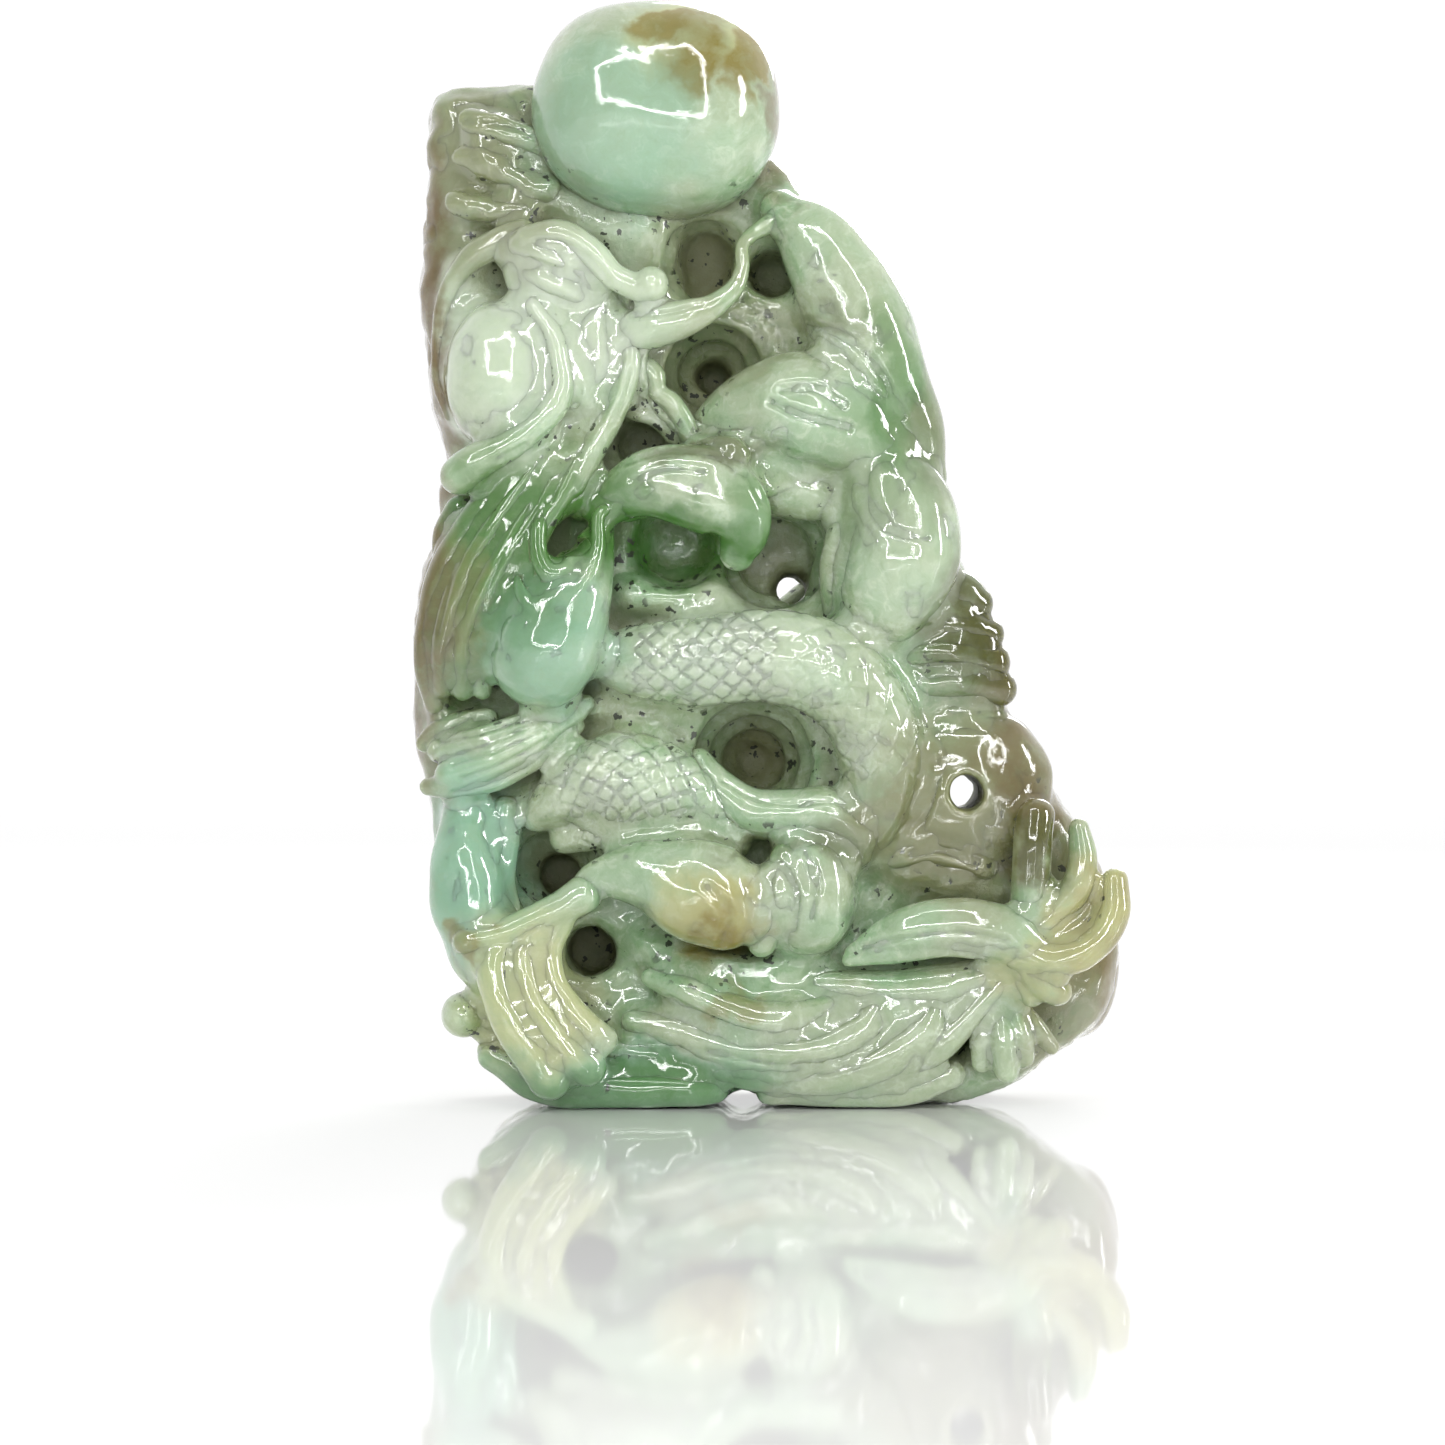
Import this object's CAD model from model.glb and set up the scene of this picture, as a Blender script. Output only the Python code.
# %% [markdown]
# # A carved jade dragon
#
# The real object is one block of translucent jadeite, about as tall as a thumb. A dragon
# coils up its front, from waves at the foot to a big smooth pearl at the top. Everything is
# cut from the one stone with drills and burrs, then polished wherever a polisher can reach.
#
# This lesson rebuilds it as a set of named carved elements. Each one is modelled roughly, as
# a bundle of tapering limbs, then melted into one skin, the way a carver rounds over the
# first rough cuts. A single stone finish covers all of them.

import math

import bmesh
import bpy
import numpy as np
from mathutils import Matrix, Quaternion, Vector, noise
from mathutils.bvhtree import BVHTree
from mathutils.kdtree import KDTree


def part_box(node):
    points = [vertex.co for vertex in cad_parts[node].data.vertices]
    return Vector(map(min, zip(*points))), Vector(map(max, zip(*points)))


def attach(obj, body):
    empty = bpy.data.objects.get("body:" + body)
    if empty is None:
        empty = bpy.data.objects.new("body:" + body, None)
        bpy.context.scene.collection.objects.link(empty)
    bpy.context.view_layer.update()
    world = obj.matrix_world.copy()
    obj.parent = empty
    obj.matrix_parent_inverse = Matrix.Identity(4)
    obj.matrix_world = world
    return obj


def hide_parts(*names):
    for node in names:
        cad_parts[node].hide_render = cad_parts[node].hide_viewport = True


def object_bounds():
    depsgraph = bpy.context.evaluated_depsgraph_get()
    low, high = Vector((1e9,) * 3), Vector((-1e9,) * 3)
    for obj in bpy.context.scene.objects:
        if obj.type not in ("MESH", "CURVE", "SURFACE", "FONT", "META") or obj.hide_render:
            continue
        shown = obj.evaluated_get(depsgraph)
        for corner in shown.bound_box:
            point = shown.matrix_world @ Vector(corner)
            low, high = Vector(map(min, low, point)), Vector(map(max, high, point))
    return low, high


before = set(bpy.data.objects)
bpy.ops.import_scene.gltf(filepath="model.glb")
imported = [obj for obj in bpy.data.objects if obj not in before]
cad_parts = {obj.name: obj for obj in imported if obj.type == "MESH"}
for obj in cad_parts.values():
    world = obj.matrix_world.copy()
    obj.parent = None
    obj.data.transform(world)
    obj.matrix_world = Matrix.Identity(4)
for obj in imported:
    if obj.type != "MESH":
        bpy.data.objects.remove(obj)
cad_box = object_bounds()
height = cad_box[1][2]
mm = height / 62.0
print(f"The carving is {height * 1000:.1f} mm tall")

# %% [markdown]
# ## Working units
#
# The elements are drawn in millimetres on a carving 62 mm tall: x to the right, z up, and
# lift, which is how far a form stands out of the ground of the relief. Blender works in
# metres, so every finished mesh is scaled down once, at the end of its making.

# %% The ground of the relief
slab_low, slab_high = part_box("stone_slab")
FRONT = slab_low[1] / mm
BACK = slab_high[1] / mm
print(f"The ground of the front lies at y = {FRONT:.1f} mm, and the back at {BACK:.1f} mm")


def box_of(node):
    """The middle of a CAD node's box, and its half sizes, in working millimetres."""
    low, high = (Vector(corner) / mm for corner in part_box(node))
    return (low + high) / 2, (high - low) / 2


# %% [markdown]
# ## A limb
#
# Almost every carved form here is long and rounded: a coil, a toe, a lock of hair. One way
# to make one is a curve object with a bevel, but that only gives round sections, and a
# relief is full of flattened ones. So a ring of edges is drawn, and extruded along a smooth
# route, turned and scaled at each step. Rounded ends close it.


# %% A smooth route through a few stations
def smooth_route(stations, steps=7):
    """Points on a smooth curve through the stations, which are lists of numbers."""
    knots = [np.array(s, dtype=float) for s in stations]
    knots = [2 * knots[0] - knots[1]] + knots + [2 * knots[-1] - knots[-2]]
    route = []
    for a, b, c, d in zip(knots, knots[1:], knots[2:], knots[3:]):
        for t in np.arange(steps) / steps:
            rise = (c - a) * t + (2 * a - 5 * b + 4 * c - d) * t**2
            route.append(b + 0.5 * (rise + (3 * b - a - 3 * c + d) * t**3))
    return route + [knots[-2]]


# %% A ring extruded along the route
def rounded(points, ways, widths):
    """The route's steps, with a rounded end added at each end of it."""
    turns = [math.radians(angle) for angle in (20, 40, 60, 80)]
    start, end = [], []
    for turn in turns:
        reach, share = math.sin(turn), math.cos(turn)
        start.insert(0, (points[0] - ways[0] * widths[0] * reach, ways[0], widths[0] * share))
        end.append((points[-1] + ways[-1] * widths[-1] * reach, ways[-1], widths[-1] * share))
    return start + list(zip(points, ways, widths)) + end


def limb(whole, stations, depth=0.85, sides=20, side=-1):
    """Adds a closed limb through stations of x, lift, z and half width.

    depth is the limb's thickness out of the ground, as a share of its width.
    """
    ground = FRONT if side < 0 else BACK
    route = smooth_route(stations)
    points = [Vector((r[0], ground + side * r[1], r[2])) for r in route]
    widths = [max(float(r[3]), 0.12) for r in route]
    ways = [
        (after - before).normalized()
        for before, after in zip(points[:1] + points[:-1], points[1:] + points[-1:])
    ]
    bm = bmesh.new()
    bmesh.ops.create_circle(bm, segments=sides, radius=1)
    ring = bm.edges[:]
    rims = [ring]
    before = None
    for point, way, width in rounded(points, ways, widths):
        across = way.cross(Vector((0, 1, 0))).normalized()
        out = across.cross(way)
        place = Matrix((across * width, out * width * depth, way)).transposed().to_4x4()
        place.translation = point
        turn = place
        if before:
            made = bmesh.ops.extrude_edge_only(bm, edges=ring)["geom"]
            ring = [part for part in made if isinstance(part, bmesh.types.BMEdge)]
            turn = place @ before.inverted()
        verts = list({vert for edge in ring for vert in edge.verts})
        bmesh.ops.transform(bm, matrix=turn, verts=verts)
        before = place
    rims.append(ring)
    for rim in rims:
        bmesh.ops.holes_fill(bm, edges=rim, sides=0)
    add_to(whole, bm)


def add_to(whole, bm):
    """Adds one bmesh to another, and frees it."""
    mesh = bpy.data.meshes.new("part")
    bm.to_mesh(mesh)
    bm.free()
    whole.from_mesh(mesh)
    bpy.data.meshes.remove(mesh)


# %% [markdown]
# ## A lump
#
# The pearl, the knee and other swelling forms are not quite spheres. A polished pebble has a
# flatter face and a fuller shoulder than a ball, so a ball of small triangles is reshaped:
# each point is moved out or in along its own direction, by a rule with one number for how
# full the shoulder is.


# %% A pebble from a ball
def lump(bm, centre, sizes, fullness=2.0, fineness=4):
    """Adds a closed pebble. fullness 2 is an ellipsoid, and more is squarer."""
    verts = bmesh.ops.create_icosphere(bm, subdivisions=fineness, radius=1)["verts"]
    for vert in verts:
        reach = sum(abs(c) ** fullness for c in vert.co) ** (-1 / fullness)
        vert.co *= reach
    bmesh.ops.scale(bm, vec=sizes, verts=verts)
    bmesh.ops.translate(bm, vec=centre, verts=verts)


# %% [markdown]
# ## Melting the rough forms together
#
# The limbs of one element run into each other. Joining them with booleans would leave sharp
# seams, which no polished stone has. Remeshing them on a fine grid makes one closed skin of
# everything, and a little smoothing rounds the inside corners, as polishing does.


# %% One skin from many forms
def link(name, bm):
    """Puts a bmesh in the scene as an object."""
    bmesh.ops.recalc_face_normals(bm, faces=bm.faces)
    mesh = bpy.data.meshes.new(name)
    bm.to_mesh(mesh)
    bm.free()
    piece = bpy.data.objects.new(name, mesh)
    bpy.context.scene.collection.objects.link(piece)
    return piece


def apply_modifiers(piece):
    shaped = piece.evaluated_get(bpy.context.evaluated_depsgraph_get())
    old = piece.data
    piece.data = bpy.data.meshes.new_from_object(shaped)
    piece.modifiers.clear()
    bpy.data.meshes.remove(old)
    piece.data.name = piece.name


def melt(piece, grid, soften=0):
    """Remeshes on a grid of that many millimetres, then smooths."""
    remesh = piece.modifiers.new("melt", "REMESH")
    remesh.mode = "VOXEL"
    remesh.voxel_size = grid
    if soften:
        smooth = piece.modifiers.new("polish", "SMOOTH")
        smooth.factor = 0.5
        smooth.iterations = soften
    apply_modifiers(piece)


def skin(name, bm, grid, soften=4, cutters=None):
    """Melts a bmesh into one object. cutters are forms that are drilled out of it."""
    piece = link(name, bm)
    if cutters:
        drill = link("drill", cutters)
        melt(drill, grid * 0.8)
        melt(piece, grid)
        cut = piece.modifiers.new("drill", "BOOLEAN")
        cut.object = drill
        cut.operation = "DIFFERENCE"
        cut.solver = "MANIFOLD"
        apply_modifiers(piece)
        bpy.data.objects.remove(drill)
    melt(piece, grid, soften)
    return piece


# %% [markdown]
# ## Engraving
#
# Fine lines, such as hairs and wrinkles, are cut last on the real stone, with a small wheel.
# Here each line is a smooth route over the front. Every point of the skin that lies close to
# a line is pushed in, deepest along its middle. A raised line is the same thing the other
# way round.


# %% Reading and moving a piece's points
def points_of(piece):
    """The piece's points, and the directions they face, as two arrays."""
    places = np.empty(len(piece.data.vertices) * 3, dtype=np.float32)
    facings = np.empty_like(places)
    piece.data.vertices.foreach_get("co", places)
    piece.data.vertex_normals.foreach_get("vector", facings)
    return places.reshape(-1, 3), facings.reshape(-1, 3)


def move_out(piece, places, facings, rises):
    """Moves each point along the way it faces by its rise."""
    moved = places + facings * np.array(rises, dtype=np.float32)[:, None]
    piece.data.vertices.foreach_set("co", moved.ravel())
    piece.data.update()


# %% Pushing the skin in along a line
def engrave(piece, strokes, width=0.3, depth=0.15, side=-1):
    """Cuts strokes of x and z into a piece's front, or its back when side is 1."""
    points = [p for stroke in strokes for p in smooth_route(stroke, 24)]
    tree = KDTree(len(points))
    for count, (x, z) in enumerate(points):
        tree.insert((x, 0, z), count)
    tree.balance()
    places, facings = points_of(piece)
    rises = []
    for (x, _, z), facing in zip(places.tolist(), facings[:, 1] * side):
        away = tree.find((x, 0, z))[2] if facing > 0.1 else width
        rises.append(-depth * (0.5 + 0.5 * math.cos(math.pi * min(away / width, 1))))
    move_out(piece, places, facings, rises)


# %% Hand polish
def hand_polish(piece, wave=2.6, depth=0.07):
    """Leaves the faint flats and hollows that a hand-held polishing wheel makes."""
    places, facings = points_of(piece)
    rises = [depth * noise.noise(Vector(place) / wave) for place in places.tolist()]
    move_out(piece, places, facings, rises)


# %% [markdown]
# ## Setting a piece in the frame
#
# A finished piece is scaled to metres, rides on the carving's one body, and stands for the
# CAD solids whose place it takes.

# %% Finishing a piece
pieces = []


def flatten_foot(piece):
    """Nothing goes below the flat surface that the carving stands on."""
    places, _ = points_of(piece)
    places[:, 2] = np.maximum(places[:, 2], 0)
    piece.data.vertices.foreach_set("co", places.ravel())


def set_in_frame(piece, slot, *nodes):
    flatten_foot(piece)
    piece.data.transform(Matrix.Scale(mm, 4))
    piece.data.shade_smooth()
    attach(piece, "root")
    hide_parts(*nodes)
    pieces.append(piece)
    print(f"{piece.name}: {len(piece.data.vertices)} points, for {', '.join(nodes)}")


# %% [markdown]
# ## The slab
#
# The stone itself comes first: a slice of rough with a wandering outline, which the carver
# has kept as large as the rough allowed. Its outline is drawn as a face, extruded to its
# thickness, and its rims are bevelled. Then the holes are drilled, as on the real stone: a
# core drill for the straight ones, and a burr for the wide hollows.

# %% The outline
outline = [(-18.4, 54.5), (-19.3, 52), (-19.5, 49), (-19.7, 45.8), (-19.3, 42), (-19.2, 39.4)]
outline += [(-18.3, 37.4), (-18.2, 36), (-18.9, 34.4), (-18.5, 32.8), (-19.3, 31.2)]
outline += [(-19.9, 29.2), (-20.1, 25.6), (-20, 21), (-19.3, 17.6), (-18.9, 15.4)]
outline += [(-18.9, 12.6), (-18.4, 9.6), (-17, 7.1), (-16.7, 5.6), (-17.1, 4.2), (-16.2, 2.9)]
outline += [(-15, 1.3), (-12, 0.1), (-7, -0.9), (0, -1.1), (6, -0.9), (10.5, 0.2)]
outline += [(13.6, 0.9), (15.8, 2.6), (18.2, 4.2), (19.6, 6.8), (19.6, 10), (19, 13.2)]
outline += [(17.4, 16.2), (15.4, 19), (13.6, 21.6), (13.6, 23.6), (13, 26.2), (11.6, 29.4)]
outline += [(10.2, 32.6), (9.6, 36.4), (8, 40.4), (7.4, 42.6), (5.8, 46.4), (3.2, 49.8)]
outline += [(1, 52.8), (-1.4, 55.4), (-5.4, 57), (-10, 57.4), (-14.6, 57), (-17.2, 56.4)]
print(f"The outline has {len(outline)} points")


# %% Extruded and bevelled
def slab_block():
    bm = bmesh.new()
    edge = smooth_route(outline + outline[:1], 4)[:-1]
    face = bm.faces.new([bm.verts.new((x, FRONT, z)) for x, z in edge])
    grown = bmesh.ops.extrude_face_region(bm, geom=[face])["geom"]
    verts = [part for part in grown if isinstance(part, bmesh.types.BMVert)]
    bmesh.ops.translate(bm, vec=(0, BACK - FRONT, 0), verts=verts)
    rims = [e for e in bm.edges if abs(e.verts[0].co.y - e.verts[1].co.y) < 0.01]
    bmesh.ops.bevel(
        bm, geom=rims, offset=1.7, segments=5, profile=0.5, affect="EDGES", material=-1
    )
    return bm


# %% Drills and burrs
def drill_hole(bm, x, z, radius, depth, mouth=None):
    """A hole from in front of the ground. mouth is its wider radius at the ground."""
    top = mouth or radius
    made = bmesh.ops.create_cone(
        bm, cap_ends=True, segments=40, radius1=radius, radius2=top, depth=depth
    )["verts"]
    bmesh.ops.rotate(bm, matrix=Matrix.Rotation(math.radians(90), 3, "X"), verts=made)
    bmesh.ops.translate(bm, vec=(x, FRONT + depth / 2, z), verts=made)
    collar = bmesh.ops.create_cone(
        bm, cap_ends=True, segments=40, radius1=top, radius2=top, depth=6
    )["verts"]
    bmesh.ops.rotate(bm, matrix=Matrix.Rotation(math.radians(90), 3, "X"), verts=collar)
    bmesh.ops.translate(bm, vec=(x, FRONT - 2.95, z), verts=collar)


def slab_holes():
    bm = bmesh.new()
    drill_hole(bm, -3.5, 47.9, 1.3, 3.4, mouth=1.75)
    drill_hole(bm, -3.5, 46.7, 1.2, 3.0, mouth=1.6)
    drill_hole(bm, 0.15, 46.9, 1.25, 3.6, mouth=1.45)
    drill_hole(bm, -3.1, 41.2, 1.5, 2.4, mouth=2.9)
    drill_hole(bm, -3.1, 41.2, 1.0, 5.4)
    drill_hole(bm, -7.1, 37.3, 1.2, 2.2, mouth=1.6)
    drill_hole(bm, -5.2, 31.6, 1.5, 2.2, mouth=2.6)
    drill_hole(bm, 0.4, 31.0, 1.8, 3.2, mouth=3.1)
    drill_hole(bm, 1.3, 29.2, 0.95, 14)
    drill_hole(bm, -0.8, 19.4, 0.8, 5.2, mouth=3.4)
    drill_hole(bm, -12.2, 13.4, 1.4, 2.8, mouth=2.7)
    drill_hole(bm, -11.8, 12.9, 1.25, 6.0)
    drill_hole(bm, -10.0, 8.7, 1.45, 5.6)
    drill_hole(bm, 11.0, 17.7, 1.05, 14)
    return bm


# %% Slits and the notch in the foot
def slab_slits(bm):
    for x, z, wide, tall, turn in ((10.6, 3.5, 0.75, 2.2, -28), (15.8, 4.9, 0.5, 1.4, -55)):
        made = bmesh.ops.create_cube(bm, size=1)["verts"]
        bmesh.ops.scale(bm, vec=(wide, 40, tall), verts=made)
        bmesh.ops.rotate(bm, matrix=Matrix.Rotation(math.radians(-turn), 3, "Y"), verts=made)
        bmesh.ops.translate(bm, vec=(x, 0, z), verts=made)
    notch = bmesh.ops.create_cone(bm, cap_ends=True, segments=32, radius1=1.3, radius2=1.3,
        depth=40)
    bmesh.ops.rotate(bm, matrix=Matrix.Rotation(math.radians(90), 3, "X"), verts=notch["verts"])
    bmesh.ops.translate(bm, vec=(-1.4, 0, -0.35), verts=notch["verts"])
    under = bmesh.ops.create_cube(bm, size=1)["verts"]
    bmesh.ops.scale(bm, vec=(50, 24, 6), verts=under)
    bmesh.ops.translate(bm, vec=(0, 0, -3), verts=under)
    return bm


# %% [markdown]
# The ground between the carved forms is never flat. It is left in swirls: curved ridges
# round each hollow, like ripples, and rough lumps where only the burr could reach. The
# ridges are thin limbs laid in arcs.


# %% Ripples round the hollows
def arc(x, z, radius, start, stop, lift, width):
    """Stations along an arc, with angles in degrees from the right, anticlockwise."""
    stations = []
    for step in range(9):
        angle = math.radians(start + (stop - start) * step / 8)
        taper = 0.55 + 0.45 * math.sin(math.pi * step / 8)
        stations.append((x + radius * math.cos(angle), lift, z + radius * math.sin(angle),
            width * taper))
    return stations


def ripples(bm):
    limb(bm, arc(-2.9, 41.3, 3.3, -10, 130, 0.1, 0.65))
    limb(bm, arc(-2.7, 41.8, 4.6, 5, 95, 0.2, 0.6))
    limb(bm, arc(-2.4, 42.2, 5.9, 15, 70, 0.2, 0.5))
    limb(bm, arc(-0.8, 19.4, 3.6, 60, 250, 0.3, 0.6))
    limb(bm, arc(-0.9, 19.3, 4.7, 100, 235, 0.3, 0.55))
    limb(bm, arc(-0.8, 19.4, 3.5, 250, 350, 0.1, 0.5))
    limb(bm, arc(0.4, 31.0, 3.5, 110, 330, 0.0, 0.6))
    limb(bm, arc(-3.5, 47.4, 3.4, 110, 215, 0.4, 0.9))
    limb(bm, [(-9.6, 0.6, 52.2, 1.1), (-7.4, 0.9, 49.9, 1.3), (-5.6, 0.6, 47.8, 0.9)])
    limb(bm, [(-12.6, 0.4, 50.8, 1.2), (-9.8, 0.8, 49.7, 1.2), (-8.0, 0.6, 47.6, 0.8)])
    limb(bm, [(-16.6, 0.2, 47, 1.2), (-16.8, 0.3, 43, 1.3), (-17.4, 0.1, 39, 0.9)])
    limb(bm, [(-7.8, 0.5, 28.8, 1.0), (-4.6, 0.6, 28.8, 1.2), (-1.6, 0.3, 27.8, 0.8)])
    limb(bm, [(-9.4, 0.6, 22.6, 0.8), (-6.4, 0.7, 21.9, 0.9), (-3.6, 0.5, 22.1, 0.6)])
    limb(bm, [(7.0, 0.3, 13.2, 0.9), (10.2, 0.6, 12.6, 1.1), (13, 0.4, 12.2, 0.8)])
    limb(bm, [(-6.8, 0.4, 9.2, 0.8), (-3.4, 0.8, 7.8, 1.1), (0.8, 0.9, 7.4, 1.2),
        (4.4, 0.6, 7.2, 0.8)])


# %% The slab, ready
block = slab_block()
ripples(block)
slab = skin("carved_stone_slab", block, 0.26, 3, slab_slits(slab_holes()))
hand_polish(slab, 3.2, 0.24)
hand_polish(slab, 1.1, 0.12)
set_in_frame(slab, "jade_ground", "stone_slab")

# %% [markdown]
# ## The pearl
#
# The one quiet form on the carving. It is a flattened pebble, polished in broad flats, which
# is why its highlight is an angular loop and not a round spot.

# %% A pearl with faint flats
centre, half = box_of("pearl")
bm = bmesh.new()
lump(bm, centre, half * 0.995, fullness=2.25, fineness=6)
pearl = link("carved_pearl", bm)
hand_polish(pearl, 4.2, 0.3)
set_in_frame(pearl, "jade_pearl", "pearl")

# %% [markdown]
# ## The rock behind the pearl
#
# A stub of plain rock, with folds that run down from its top edge. A bevelled block is given
# a few limbs for folds, and the melt joins them.

# %% The rock peak
centre, half = box_of("rock_peak")
bm = bmesh.new()
made = bmesh.ops.create_cube(bm, size=2)["verts"]
bmesh.ops.scale(bm, vec=(half.x, half.y, half.z), verts=made)
bmesh.ops.translate(bm, vec=centre, verts=made)
bmesh.ops.bevel(
    bm, geom=bm.edges[:], offset=2.0, segments=5, profile=0.5, affect="EDGES", material=-1
)
limb(bm, [(-16.8, 0.9, 55.4, 0.6), (-15.2, 1.2, 54.9, 0.9), (-12.4, 1.0, 53.6, 0.8)])
limb(bm, [(-17.2, 0.8, 53.2, 0.6), (-15.4, 1.0, 52.6, 0.9), (-12.4, 1.1, 51.4, 0.9)])
limb(bm, [(-17.4, 0.6, 50.8, 0.7), (-15.8, 0.8, 50.3, 1.0), (-13.4, 0.9, 49.9, 0.8)])
rock = skin("carved_rock_peak", bm, 0.24, 5)
hand_polish(rock, 2.4, 0.45)
hand_polish(rock, 0.9, 0.12)
folds = [[(-18.5, 54.4), (-15.6, 54.1), (-12.6, 52.8)], [(-17.6, 56.3), (-15.4, 55.9), (-13, 55)]]
folds += [[(-17, 55.2), (-14.6, 54.9), (-12.8, 54.2)]]
engrave(rock, folds, 0.35, 0.16)
set_in_frame(rock, "jade_ground", "rock_peak")

# %% [markdown]
# ## The head
#
# The head looks up and to the left. A three-ridged crest lies over it and ends in a round
# knob, a wide brow curls round the left, and the smooth cheek below it is the largest form.
# A long fold closes the cheek on the right and runs out to the left below it as a lobe.

# %% Crest, brow, cheek and folds
centre, half = box_of("head_dome")
bm = bmesh.new()
lump(bm, centre + Vector((0.1, 0.2, 0)), (3.25, 3.1, 4.3), 2.1)
limb(bm, [(-13.4, 3.1, 48.5, 0.75), (-11.5, 3.5, 48.6, 0.85), (-9.8, 3.6, 47.5, 0.8),
    (-8.6, 3.6, 46.3, 0.72), (-7.3, 3.7, 45.7, 0.85), (-6.6, 3.8, 45.8, 1.05)], 1.0)
limb(bm, [(-13.8, 2.7, 48.1, 0.8), (-12.3, 3.2, 47.4, 0.85), (-10.8, 3.1, 46.7, 0.75),
    (-9.8, 2.6, 45.8, 0.6)], 1.0)
limb(bm, [(-13.9, 2.3, 47.1, 0.75), (-12.5, 2.9, 46.2, 0.8), (-10.9, 2.8, 45.5, 0.7),
    (-10.2, 2.2, 44.9, 0.5)], 1.0)
limb(bm, [(-13.7, 1.9, 48.9, 0.8), (-15.2, 1.8, 48.3, 0.85), (-16.8, 1.4, 47.3, 0.75),
    (-18, 0.9, 45.4, 0.6), (-18.4, 0.6, 43, 0.5), (-18.4, 0.4, 40.6, 0.45),
    (-17.9, 0.3, 38.8, 0.4)], 0.9)
limb(bm, [(-13.9, 1.6, 47.6, 1.2), (-13.2, 2.0, 46, 1.3), (-11.6, 2.0, 45.2, 1.2)], 0.9)
limb(bm, [(-9.2, 1.4, 45, 1.4), (-9.7, 1.8, 43, 1.7), (-10, 1.8, 41, 1.7),
    (-10.6, 1.6, 38.9, 1.3)], 0.9)
limb(bm, [(-13.1, 3.0, 44.7, 0.5), (-12.0, 3.5, 43, 0.62), (-11.6, 3.8, 41.4, 0.62),
    (-11.5, 3.8, 40.1, 0.7), (-12.3, 3.8, 38.6, 0.8), (-14.1, 3.7, 37.1, 0.9),
    (-16.2, 3.4, 36, 1.1), (-17.2, 3.1, 35.3, 1.12)], 0.95)
limb(bm, [(-11.6, 2.6, 43.9, 0.4), (-10.8, 3.0, 42.5, 0.5), (-10.6, 3.1, 40.8, 0.5),
    (-10.9, 3.1, 39.4, 0.45)], 0.9)
head = skin("carved_head", bm, 0.17, 3)
hand_polish(head, 2.0, 0.09)
hair = [[(-12.8, 48.1), (-11, 47.9), (-9.6, 46.9), (-8.8, 45.9)], [(-13.3, 47.2), (-11.9, 46.7),
    (-10.6, 46.1)]]
hair += [[(-12.6, 42.6), (-12.3, 41.2), (-12.3, 40)], [(-13.4, 36.9), (-15, 36.1)]]
engrave(head, hair, 0.3, 0.13)
set_in_frame(head, "jade_cream", "head_crest", "skull", "head_dome", "brow_crescent",
    "cheek_lobe")

# %% [markdown]
# ## Whisker and fringe
#
# The whisker leaves the snout as a broad ribbon, narrows, and climbs to the right. Below it
# a wavy fringe of beard steps down between two hollows.

# %% The whisker ribbon
bm = bmesh.new()
limb(bm, [(-8.4, 2.4, 43.2, 0.9), (-6.7, 3.0, 43.5, 1.25), (-4.9, 3.4, 43.9, 1.1),
    (-3.2, 3.4, 44.6, 0.72), (-2.0, 3.1, 45.6, 0.52), (-1.5, 2.8, 46.8, 0.44),
    (-1.5, 2.4, 48.0, 0.42), (-0.9, 1.9, 48.8, 0.45), (0.4, 1.4, 49.6, 0.6)], 0.8)
whisker = skin("carved_whisker_ribbon", bm, 0.13, 3)
hand_polish(whisker, 1.4, 0.08)
engrave(whisker, [[(-7.6, 44.0), (-5.6, 44.2), (-3.8, 44.7)]], 0.3, 0.1)
set_in_frame(whisker, "jade_cream", "whisker_ribbon")

# %% The fringe of the beard
bm = bmesh.new()
limb(bm, [(-8.1, 1.8, 41.4, 0.6), (-7.2, 2.0, 41.5, 0.62), (-6.4, 2.1, 40.9, 0.62),
    (-6.2, 2.1, 40.0, 0.55), (-5.4, 2.1, 39.4, 0.62), (-4.8, 2.0, 38.4, 0.6),
    (-4.2, 1.8, 37.2, 0.6)], 0.9)
limb(bm, [(-7.6, 1.1, 40.4, 0.9), (-6.8, 1.2, 39.4, 0.9), (-5.7, 1.2, 38.4, 0.8),
    (-4.9, 1.0, 37.3, 0.6)], 0.8)
limb(bm, [(-8.3, 1.2, 39.3, 0.5), (-7.4, 1.4, 38.9, 0.5), (-6.2, 1.4, 38.5, 0.5),
    (-5.5, 1.2, 37.6, 0.4)], 0.9)
fringe = skin("carved_mane_fringe", bm, 0.13, 3)
hand_polish(fringe, 1.4, 0.08)
set_in_frame(fringe, "jade_cream", "mane_fringe")

# %% [markdown]
# ## The mane
#
# Locks of hair sweep down and left from behind the head. Each lock is a limb of its own, laid
# over its neighbour so that the creases between them stay deep after the melt.

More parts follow.
